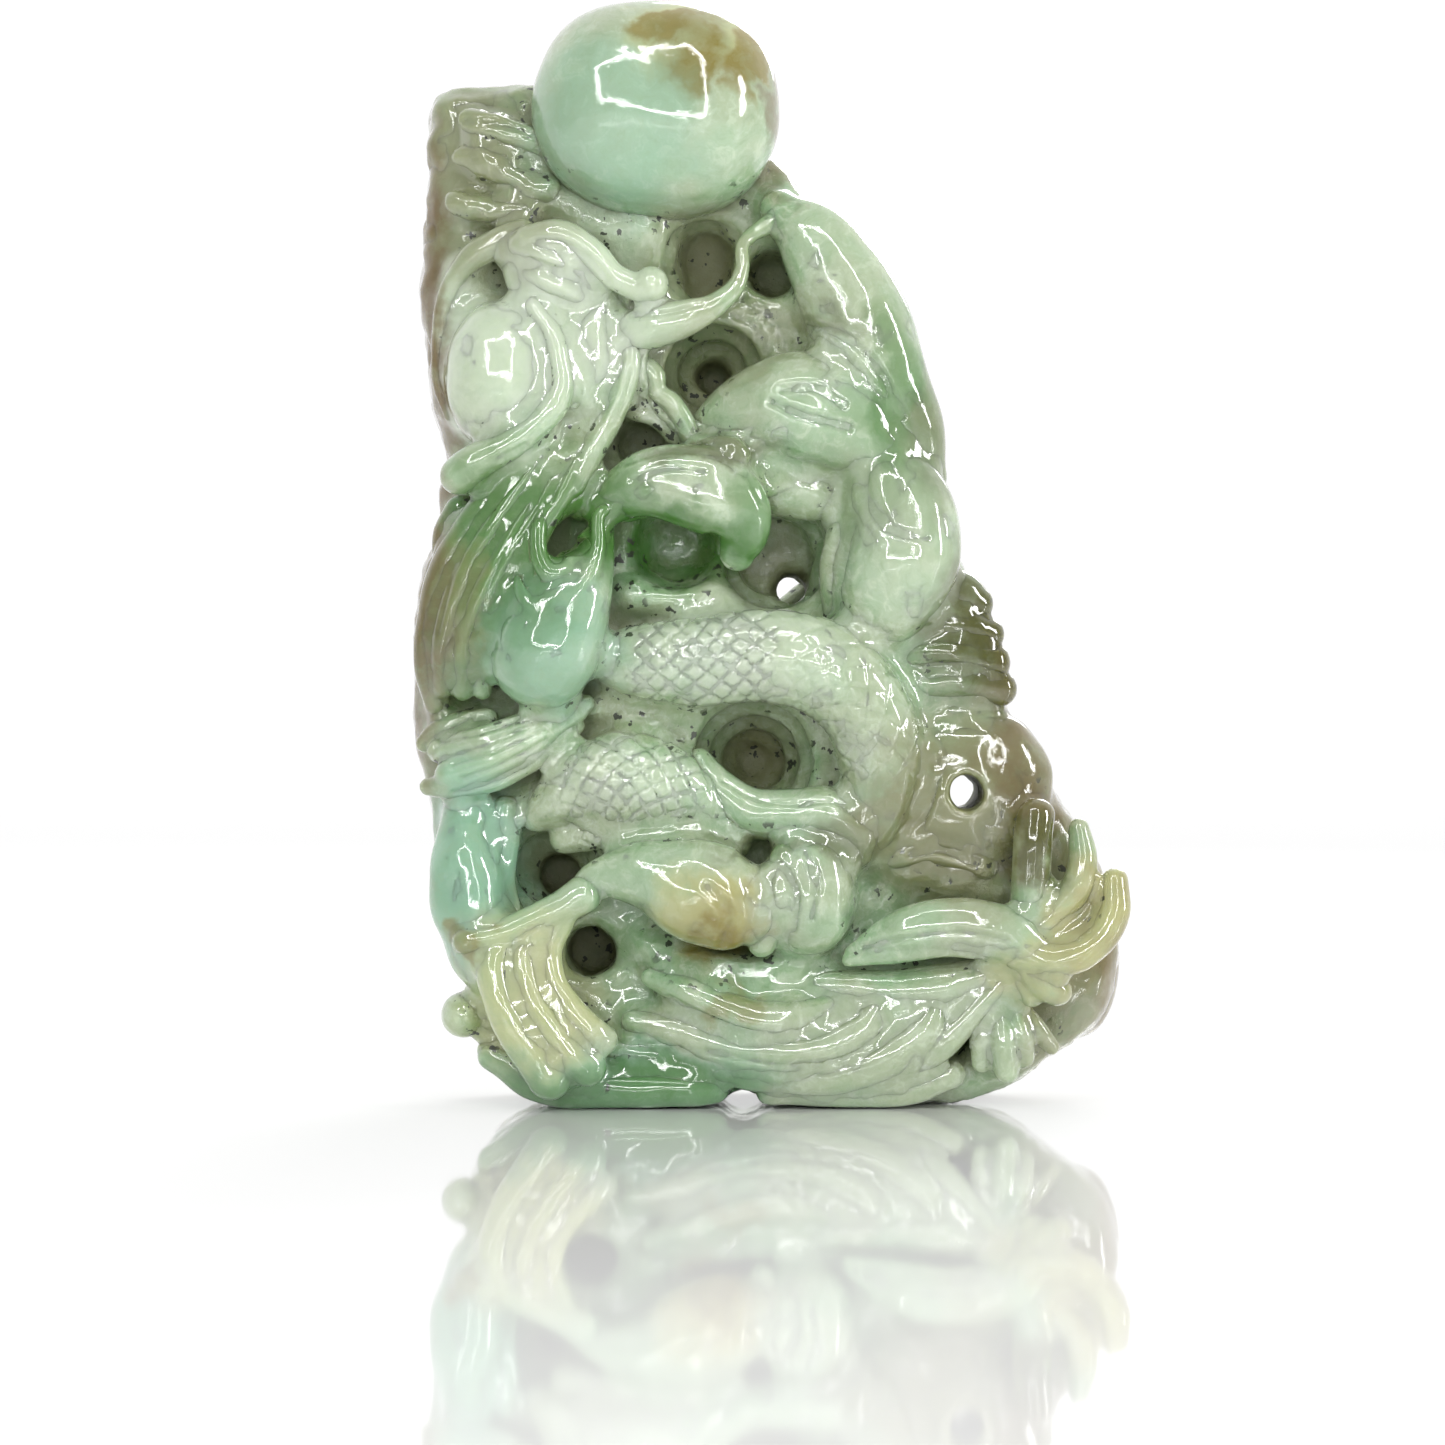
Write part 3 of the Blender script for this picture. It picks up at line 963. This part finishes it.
bm = bmesh.new()
centre, half = box_of("knob_left")
lump(bm, centre, (1.3, 1.7, 1.3), 2.1)
limb(bm, [(-15.7, 0.5, 3.2, 0.7), (-14.8, 0.6, 3.4, 0.8)], 0.9)
limb(bm, [(-16.8, 0.3, 5.6, 0.9), (-15.6, 0.4, 5.2, 1.1)], 0.9)
knob = skin("carved_knob_left", bm, 0.17, 3)
set_in_frame(knob, "jade_green", "knob_left")

# %% [markdown]
# ## The back
#
# On pieces like this the back is simpler: one long coil of the body in low relief, and a few
# cloud scrolls in its bays. The scrolls are cut as spirals.

# %% The back coil
bm = bmesh.new()
back_route = [(-13, 0.5, 50.5, 1.3), (-9, 0.9, 46.5, 2.2), (-1, 1.0, 42.6, 2.6),
    (5, 1.1, 37, 2.6), (5.6, 1.2, 30.4, 2.6), (0, 1.2, 25.2, 2.6), (-8, 1.2, 21.4, 2.6),
    (-11.4, 1.0, 14.6, 2.5), (-6.4, 0.8, 8.6, 2.1), (1, 0.5, 6.2, 1.2)]
limb(bm, back_route, 0.68, side=1)
back_coil = skin("carved_back_coil", bm, 0.22, 3)
hand_polish(back_coil, 3.0, 0.15)
set_in_frame(back_coil, "jade_ground", "back_coil")


# %% Cloud scrolls on the back
def spiral(x, z, radius, turns, turned=0.0):
    steps = int(14 * turns)
    points = []
    for step in range(steps + 1):
        angle = math.radians(turned) + 2 * math.pi * turns * step / steps
        reach = radius * (1 - 0.86 * step / steps)
        points.append((x + reach * math.cos(angle), z + reach * math.sin(angle)))
    return points


for number in (1, 2, 3):
    centre, half = box_of(f"back_cloud_{number}")
    bm = bmesh.new()
    lump(bm, centre, half * 1.0, 2.2)
    cloud = skin(f"carved_back_cloud_{number}", bm, 0.18, 3)
    engrave(cloud, [spiral(centre.x, centre.z, 2.7, 1.6, 40 * number)], 0.4, 0.35, side=1)
    set_in_frame(cloud, "jade_ground", f"back_cloud_{number}")

# %% [markdown]
# ## One stone
#
# So far the forms lie on the slab like rope on a table. In the real carving they grow out of
# it, and every inside corner is a small fillet where the burr could not reach. So the slab
# and copies of all the forms are melted into one coarse skin, and that is smoothed a lot.
# The smoothing sinks its ridges below the sharp forms, and fills the corners between them.

# %% The ground grows up between the forms
BLEND_GRID = 0.35
BLEND_SMOOTHING = 14

bm = bmesh.new()
for piece in pieces:
    if piece != pearl:
        bm.from_mesh(piece.data)
ground = link("ground", bm)
melt(ground, BLEND_GRID * mm, BLEND_SMOOTHING)
bm = bmesh.new()
bm.from_mesh(ground.data)
bmesh.ops.scale(bm, vec=(1 / mm, 1 / mm, 1 / mm), verts=bm.verts)
bpy.data.objects.remove(ground)
ground = skin("ground", bm, BLEND_GRID, 2, slab_slits(slab_holes()))
slab.data = ground.data
slab.data.name = slab.name
bpy.data.objects.remove(ground)
hand_polish(slab, 1.3, 0.14)
hand_polish(slab, 0.6, 0.07)


# %% Ripples left by the burr
def rings(x, z, radii):
    return [[(p[0], p[2]) for p in arc(x, z, radius, 0, 360, 0, 1)] for radius in radii]


burred = rings(-0.8, 19.4, (1.5, 2.3, 3.1)) + rings(-3.1, 41.2, (1.7, 2.5, 3.4, 4.4))
burred += rings(0.4, 31.0, (1.9, 2.7)) + rings(-12.2, 13.4, (1.8, 2.5)) + rings(-3.5, 47.4,
    (2.2,))
engrave(slab, burred, 0.42, 0.26)
flatten_foot(slab)
slab.data.transform(Matrix.Scale(mm, 4))
slab.data.shade_smooth()
print(f"The ground now has {len(slab.data.vertices)} points")

# %% [markdown]
# ## What the polisher can't reach
#
# Raised forms are bright and glossy. In the hollows the stone stays dull from the burr, and
# polishing compound and dust stay behind as gray and black specks. So each point needs to
# know how hemmed in it is. Rays are cast out of the skin in a few directions, against all
# the pieces together, and the share that hits stone nearby is stored on the point.

# %% All the stone as one tree
corners, faces = [], []
for piece in pieces:
    offset = len(corners)
    corners += [v.co.copy() for v in piece.data.vertices]
    faces += [[offset + index for index in f.vertices] for f in piece.data.polygons]
stone = BVHTree.FromPolygons(corners, faces)
print(f"The whole skin has {len(corners)} points and {len(faces)} faces")

# %% Rays out of every point
STEEP, WIDE = 0.25, 0.95

fan = []
for count in range(7):
    tilt = STEEP if count == 6 else WIDE
    turn = 2 * math.pi * count / 6
    fan.append((math.sin(tilt) * math.cos(turn), math.sin(tilt) * math.sin(turn), math.cos(tilt)))
reach = 4.5 * mm
for piece in pieces:
    shade = piece.data.attributes.new("hollow", "FLOAT", "POINT")
    values = []
    for place, facing in zip(*points_of(piece)):
        normal = Vector(facing)
        aside = normal.orthogonal().normalized()
        over = normal.cross(aside)
        start = Vector(place) + normal * 0.12 * mm
        shut = 0
        for a, b, c in fan:
            away = stone.ray_cast(start, aside * a + over * b + normal * c, reach)[3]
            if away is not None:
                shut += 1 - 0.6 * away / reach
        values.append(shut / len(fan))
    shade.data.foreach_set("value", values)
print("Every point knows how deep it lies")

# %% [markdown]
# ## Sums on shader sockets
#
# The stone's colour is worked out with sums, and a row of Math nodes is hard to read. A small
# class wraps a node's output, so that an expression such as 1 - mask adds its own node.


# %% A socket that can be used in sums
class Wire:
    def __init__(self, tree, socket):
        self.tree = tree
        self.socket = socket

    def math(self, operation, *others):
        return node(self.tree, "ShaderNodeMath", {"operation": operation}, others)

    def __add__(self, other):
        return self.math("ADD", self, other)

    def __sub__(self, other):
        return self.math("SUBTRACT", self, other)

    def __rsub__(self, other):
        return self.math("SUBTRACT", other, self)

    def __mul__(self, other):
        return self.math("MULTIPLY", self, other)

    def clamp(self):
        made = self.math("ADD", self, 0.0)
        made.socket.node.use_clamp = True
        return made

    __radd__ = __add__
    __rmul__ = __mul__


def node(tree, kind, settings=None, values=(), output=0):
    """Adds a node. settings are its own properties, values its inputs by order or by name."""
    made = tree.nodes.new(kind)
    for name, setting in (settings or {}).items():
        if name == "stops":
            ramp = made.color_ramp.elements
            while len(ramp) < len(setting):
                ramp.new(0.5)
            for stop, (place, colour) in zip(ramp, setting):
                stop.position = place
                stop.color = (*colour, 1)
        else:
            setattr(made, name, setting)
    named = values.items() if isinstance(values, dict) else enumerate(values)
    for name, value in named:
        if isinstance(value, Wire):
            tree.links.new(value.socket, made.inputs[name])
        else:
            made.inputs[name].default_value = value
    return Wire(tree, made.outputs[output])


# %% [markdown]
# ## The colour of the stone
#
# Jadeite is never one colour. The body here is a pale mint that drifts to gray and to a
# bluish white. Green runs through it in veins, and where the outside of the river boulder
# was left on, the stone is stained honey, olive and brown. The stains are soft blobs whose
# edges are pushed about by noise, each at its own place on the carving.

# %% Colours
MINT = (0.30, 0.46, 0.27)
GRAY = (0.37, 0.44, 0.28)
MILK = (0.59, 0.68, 0.52)
GREEN = (0.06, 0.19, 0.025)
AQUA = (0.26, 0.48, 0.34)
HONEY = (0.56, 0.56, 0.26)
OLIVE = (0.075, 0.08, 0.005)
AMBER = (0.22, 0.155, 0.0)
BROWN = (0.16, 0.10, 0.032)
ASH = (0.22, 0.22, 0.10)
MOSS = (0.06, 0.11, 0.035)

# Each stain: colour, place x, y, z, its size across, in and up, and its strength.
stains = [
    (MILK, (-12, -7, 45), (7, 5, 5), 0.85),
    (MILK, (-15, -7, 41), (3.2, 5, 4), 0.6),
    (ASH, (-16, 0, 52), (6, 9, 6), 0.7),
    (BROWN, (-20, 3, 42), (2.4, 6, 14), 0.75),
    (BROWN, (-20.5, 3, 26), (1.6, 6, 9), 0.6),
    (ASH, (-3, -3, 44), (5, 3, 6), 0.55),
    (GREEN, (-13.5, -5.5, 31.5), (4.2, 3, 5), 0.8),
    (GREEN, (-17.6, -5, 26.5), (2.4, 3, 4), 0.5),
    (GREEN, (-8.5, -5, 33), (2.6, 3, 2.6), 0.8),
    (GREEN, (-4.6, -5, 31.6), (4, 3, 1.8), 0.95),
    (OLIVE, (-3.2, -7, 36.8), (3.4, 2.4, 0.9), 0.65),
    (GREEN, (-1.0, -6.5, 33.2), (1.6, 3, 2), 0.55),
    (AQUA, (-12.2, -8, 25.6), (4, 4, 3.4), 0.7),
    (HONEY, (-17.3, -6, 29), (1.2, 2, 3), 0.5),
    (GREEN, (7, -5, 40), (1.4, 4, 5), 0.6),
    (OLIVE, (9.2, -2, 37), (1.6, 5, 5), 0.6),
    (OLIVE, (3.6, -5.4, 44), (2.6, 2, 0.7), 0.45),
    (MILK, (7.4, -7, 32), (3.4, 4, 4), 0.25),
    (MILK, (-3, -7, 26), (6, 4, 3), 0.45),
    (OLIVE, (12.6, -2, 26.4), (2.4, 6, 3.2), 0.95),
    (BROWN, (13.6, 1, 23.4), (1.8, 6, 4), 0.7),
    (AQUA, (-16.8, -4, 13), (3.6, 6, 6), 0.8),
    (AMBER, (-2.7, -7, 10.4), (2.3, 3, 2.2), 0.75),
    (HONEY, (-3.4, -7, 11.4), (2.6, 3, 2.2), 0.55),
    (AMBER, (-2.4, -5.5, 5.9), (1.8, 2, 0.8), 0.45),
    (HONEY, (-13.4, -7, 6.2), (4.0, 4, 5), 0.6),
    (AMBER, (-16.9, -7, 9.6), (1.0, 3, 1.0), 0.6),
    (OLIVE, (14.6, -6, 15.2), (1.4, 3, 3), 0.95),
    (HONEY, (18.4, -6, 10.6), (2.6, 4, 4), 0.85),
    (HONEY, (15.2, -6, 7.6), (2.6, 3, 2), 0.6),
    (OLIVE, (4.6, -5.2, 15.4), (1.8, 2, 1.8), 0.55),
    (OLIVE, (-0.6, -5, 14.6), (4.5, 1.6, 0.6), 0.5),
    (ASH, (11, -3, 15), (5, 4, 5), 0.6),
    (BROWN, (18, 1, 6), (4.5, 6, 6), 0.55),
    (BROWN, (17.6, 2, 14), (2.4, 6, 6), 0.6),
    (AQUA, (-8, -4, 1.4), (8, 5, 2), 0.7),
    (GREEN, (-6, -4, 2), (2.6, 3, 1.2), 0.4),
    (HONEY, (-4.2, -4, 59.6), (3.2, 8, 2.2), 0.7),
    (OLIVE, (-4.2, -6, 58.6), (2.4, 8, 1.8), 0.4),
    (AMBER, (-5.6, -6, 60.2), (2.2, 8, 0.7), 0.7),
    (AMBER, (-3.6, -6, 58.2), (1.3, 8, 1.2), 0.75),
    (AMBER, (-1.2, -3, 58.6), (0.9, 8, 2.6), 0.8),
    (BROWN, (0.6, -1, 55.6), (0.9, 8, 4.6), 0.7),
    (AQUA, (-8.6, -8, 54.6), (5, 5, 4.4), 0.55),
    (BROWN, (0, 8, 58), (16, 5, 6), 0.4),
    (OLIVE, (11.6, -4, 26.6), (3.6, 4, 4.4), 0.7),
    (ASH, (10.4, -5, 17.4), (5, 3, 4.6), 0.85),
    (BROWN, (14.6, -2, 19), (2.4, 5, 4), 0.6),
    (GREEN, (-8, -5, 1.2), (8, 4, 1.6), 0.65),
    (GREEN, (-15, -6, 30), (3.6, 4, 6), 0.45),
    (OLIVE, (-17.6, -5, 27), (1.6, 3, 6), 0.4),
    (GREEN, (-5.2, -3, 31.4), (3, 4, 2.2), 0.7),
    (GREEN, (6.4, -5, 36), (3, 3, 5), 0.3),
    (MILK, (-8, -6, 18.6), (4, 3, 2), 0.5),
    (AMBER, (-2.6, -7, 9.7), (1.3, 3, 1.2), 0.7),
    (BROWN, (-20.4, -2, 36), (2.6, 5, 20), 0.8),
    (BROWN, (20.2, -2, 8), (2.0, 5, 7), 0.6),
    (MILK, (-1, -7, 25.4), (6, 3, 2.4), 0.35),
    (OLIVE, (14.5, -7, 15.4), (1.1, 2.5, 1.6), 0.75),
]
print(f"The stone has {len(stains)} stains")

# %% [markdown]
# ## The finish
#
# Light goes into jade, wanders, and comes out again nearby, which is why its shadows are
# soft and its thin edges glow. That is subsurface scattering. A clear coat with almost no
# roughness stands for the wax polish. The hollow value on each point dulls the polish,
# grays the colour, and lets specks of polishing compound show.


# %% Pieces of the finish
def colour_mix(tree, factor, one, other, blend="MIX"):
    settings = {"data_type": "RGBA", "blend_type": blend}
    pick = [(*c, 1) if isinstance(c, tuple) else c for c in (one, other)]
    return node(tree, "ShaderNodeMix", settings, {0: factor, 6: pick[0], 7: pick[1]}, 2)


def ramp(tree, value, low, high, bottom=0.0, top=1.0):
    """Eases value from bottom to top as it goes from low to high."""
    settings = {"interpolation_type": "SMOOTHSTEP"}
    return node(tree, "ShaderNodeMapRange", settings, [value, low, high, bottom, top])


def vector(tree, operation, one, other, output=0):
    return node(tree, "ShaderNodeVectorMath", {"operation": operation}, [one, other], output)


def stain(tree, place, spot, size):
    """1 in the middle of a stain, and 0 outside it."""
    apart = vector(tree, "SUBTRACT", place, spot)
    shares = vector(tree, "DIVIDE", apart, (size[0], size[1] * 1.5, size[2]))
    away = node(tree, "ShaderNodeVectorMath", {"operation": "LENGTH"}, [shares], "Value")
    return ramp(tree, away, 1.45, 0.65)


# %% The jade
def jade():
    stone_finish = bpy.data.materials.new("polished_jade")
    stone_finish.use_nodes = True
    tree = stone_finish.node_tree
    shader = tree.nodes["Principled BSDF"]
    place = node(tree, "ShaderNodeTexCoord", output="Object")
    place = vector(tree, "SCALE", place, (0, 0, 0))
    place.socket.node.inputs["Scale"].default_value = 1 / mm
    hollow = node(tree, "ShaderNodeAttribute", {"attribute_name": "hollow"}, output="Fac")

    drift = node(tree, "ShaderNodeTexNoise", {}, {"Vector": place, "Scale": 0.16, "Detail": 3.0})
    swirl = node(tree, "ShaderNodeTexNoise", {}, {"Vector": place, "Scale": 0.42, "Detail": 4.0},
        1)
    push = vector(tree, "SUBTRACT", swirl, (0.5, 0.5, 0.5))
    push = vector(tree, "MULTIPLY", push, (5.0, 5.0, 5.0))
    moved = vector(tree, "ADD", place, push)
    cloud = node(tree, "ShaderNodeTexNoise", {}, {"Vector": moved, "Scale": 0.9, "Detail": 6.0,
        "Roughness": 0.62})

    colour = colour_mix(tree, ramp(tree, drift, 0.38, 0.62), MINT, GRAY)
    colour = colour_mix(tree, ramp(tree, cloud, 0.48, 0.7) * 0.65, colour, MILK)
    colour = colour_mix(tree, ramp(tree, cloud, 0.5, 0.3) * 0.3, colour, GREEN)
    raised = ramp(tree, hollow, 0.16, 0.0)
    colour = colour_mix(tree, raised * 0.3, colour, MILK)
    depth = node(tree, "ShaderNodeSeparateXYZ", {}, [place], "Y")
    rim = ramp(tree, depth, -2.6, 1.6) * ramp(tree, depth, 6.0, 4.5)
    colour = colour_mix(tree, rim * 0.6, colour, BROWN)
    for shade, spot, size, strength in stains:
        mask = stain(tree, moved, spot, size)
        ragged = ramp(tree, cloud, 0.25, 0.55, 0.7, 1.0)
        colour = colour_mix(tree, mask * ragged * strength, colour, shade)

    vein = node(tree, "ShaderNodeTexNoise", {"noise_type": "RIDGED_MULTIFRACTAL"},
        {"Vector": moved, "Scale": 0.35, "Detail": 4.0})
    colour = colour_mix(tree, ramp(tree, vein, 0.9, 1.6) * 0.12, colour, MILK)

    deep = ramp(tree, hollow, 0.25, 0.7)
    colour = colour_mix(tree, deep * 0.45, colour, ASH)
    colour = colour_mix(tree, ramp(tree, hollow, 0.55, 0.95) * 0.65, colour, MOSS)

    chip = node(tree, "ShaderNodeTexNoise", {}, {"Vector": place, "Scale": 2.6, "Detail": 2.0}, 1)
    chip = vector(tree, "MULTIPLY", vector(tree, "SUBTRACT", chip, (0.5, 0.5, 0.5)),
        (0.9, 0.9, 0.9))
    chip = vector(tree, "ADD", place, chip)
    specks = node(tree, "ShaderNodeTexVoronoi", {}, {"Vector": chip, "Scale": 1.45})
    seed = node(tree, "ShaderNodeTexVoronoi", {}, {"Vector": chip, "Scale": 1.45}, "Color")
    chance = node(tree, "ShaderNodeSeparateColor", {}, [seed])
    dot = ramp(tree, specks - ramp(tree, chance, 0.2, 1.0, 0.0, 0.4), 0.0, -0.05)
    patchy = node(tree, "ShaderNodeTexNoise", {}, {"Vector": place, "Scale": 0.45, "Detail": 3.0})
    dirt = (dot * ramp(tree, patchy, 0.40, 0.52) * ramp(tree, hollow, 0.06, 0.26)).clamp()
    colour = colour_mix(tree, dirt * 0.93, colour, (0.015, 0.02, 0.01))
    tree.links.new(colour.socket, shader.inputs["Base Color"])

    rough = ramp(tree, hollow, 0.22, 0.6, 0.09, 0.5) + dirt * 0.2
    tree.links.new(rough.socket, shader.inputs["Roughness"])
    coat = ramp(tree, hollow, 0.5, 0.2, 0.0, 0.8)
    tree.links.new(coat.socket, shader.inputs["Coat Weight"])

    grain = node(tree, "ShaderNodeTexNoise", {}, {"Vector": place, "Scale": 3.2, "Detail": 5.0,
        "Roughness": 0.7})
    wheel = node(tree, "ShaderNodeTexNoise", {}, {"Vector": place, "Scale": 0.8, "Detail": 2.0})
    relief = grain * ramp(tree, hollow, 0.2, 0.6, 0.015, 0.5) + wheel * 0.25
    bump = node(tree, "ShaderNodeBump", {}, {"Strength": 0.55, "Distance": 0.4 * mm,
        "Height": relief})
    tree.links.new(bump.socket, shader.inputs["Normal"])

    shader.inputs["IOR"].default_value = 1.66
    shader.inputs["Subsurface Weight"].default_value = 0.75
    shader.inputs["Subsurface Radius"].default_value = (1.0, 1.05, 0.8)
    shader.inputs["Subsurface Scale"].default_value = 1.3 * mm
    shader.inputs["Coat Roughness"].default_value = 0.03
    shader.inputs["Coat IOR"].default_value = 1.5
    return stone_finish


stone_finish = jade()
for piece in pieces:
    piece.data.materials.clear()
    piece.data.materials.append(stone_finish)
print(f"The stone's finish has {len(stone_finish.node_tree.nodes)} nodes")

# %% [markdown]
# ## Floor, light and camera
#
# The carving stands on a glossy white floor that mirrors it faintly. The light is soft from
# everywhere, with a frame of narrow lamps high in front: polished jade mirrors that frame as
# bright outlined loops.

# %% The floor
bm = bmesh.new()
bmesh.ops.create_grid(bm, x_segments=1, y_segments=1, size=3.0)
floor = link("floor", bm)
white = bpy.data.materials.new("glossy_white_floor")
white.use_nodes = True
paint = white.node_tree.nodes["Principled BSDF"]
paint.inputs["Base Color"].default_value = (0.9, 0.9, 0.9, 1)
paint.inputs["Roughness"].default_value = 0.04
paint.inputs["IOR"].default_value = 1.5
floor.data.materials.append(white)

# %% Soft light from everywhere
world = bpy.data.worlds.new("studio")
bpy.context.scene.world = world
world.use_nodes = True
sky = world.node_tree
way = node(sky, "ShaderNodeTexCoord", output="Generated")
behind = node(sky, "ShaderNodeSeparateXYZ", {}, [way], "Y")
glow = ramp(sky, behind, -0.3, 0.4, 0.40, 1.04)
sky.links.new(glow.socket, sky.nodes["Background"].inputs["Strength"])
sky.nodes["Background"].inputs["Color"].default_value = (1, 1, 1, 1)


# %% A frame of narrow lamps
def lamp(name, place, aim, wide, tall, power, turn=0.0):
    data = bpy.data.lights.new(name, "AREA")
    data.shape = "RECTANGLE"
    data.size = wide
    data.size_y = tall
    data.energy = power
    light = bpy.data.objects.new(name, data)
    light.location = place
    facing = (Vector(aim) - Vector(place)).to_track_quat("-Z", "Y")
    light.rotation_euler = (facing @ Quaternion((0, 0, 1), turn)).to_euler()
    bpy.context.scene.collection.objects.link(light)


target = (0, 0, height * 0.5)
hub = Vector((-0.05, -0.34, 0.22))
strip_width, strip_power = 0.012, 0.2
corners = [hub + Vector((x, 0.2 * z, z)) for x, z in ((-0.18, 0.08), (0.02, 0.17), (0.17, 0.08),
    (0.13, -0.18), (-0.11, -0.15))]
for count, (one, other) in enumerate(zip(corners, corners[1:] + corners[:1])):
    span = other - one
    lamp(f"frame_lamp_{count}", (one + other) / 2, target, span.length, strip_width, strip_power,
        math.atan2(span.z, span.x))
lamp("side_lamp", (0.35, -0.16, 0.14), target, 0.04, 0.2, 0.5)
lamp("back_lamp", (0.10, 0.30, 0.24), target, 0.2, 0.2, 0.8)

# %% The camera
camera_data = bpy.data.cameras.new("camera")
camera_data.lens = 100
camera_data.sensor_width = 36
camera_data.clip_start = 0.01
camera = bpy.data.objects.new("camera", camera_data)
camera_distance = 0.229
camera.location = (-2.6 * mm, -camera_distance, 21.6 * mm)
camera.rotation_euler = (math.radians(90), 0, 0)
bpy.context.scene.collection.objects.link(camera)
bpy.context.scene.camera = camera
bpy.context.scene.view_settings.view_transform = "Standard"
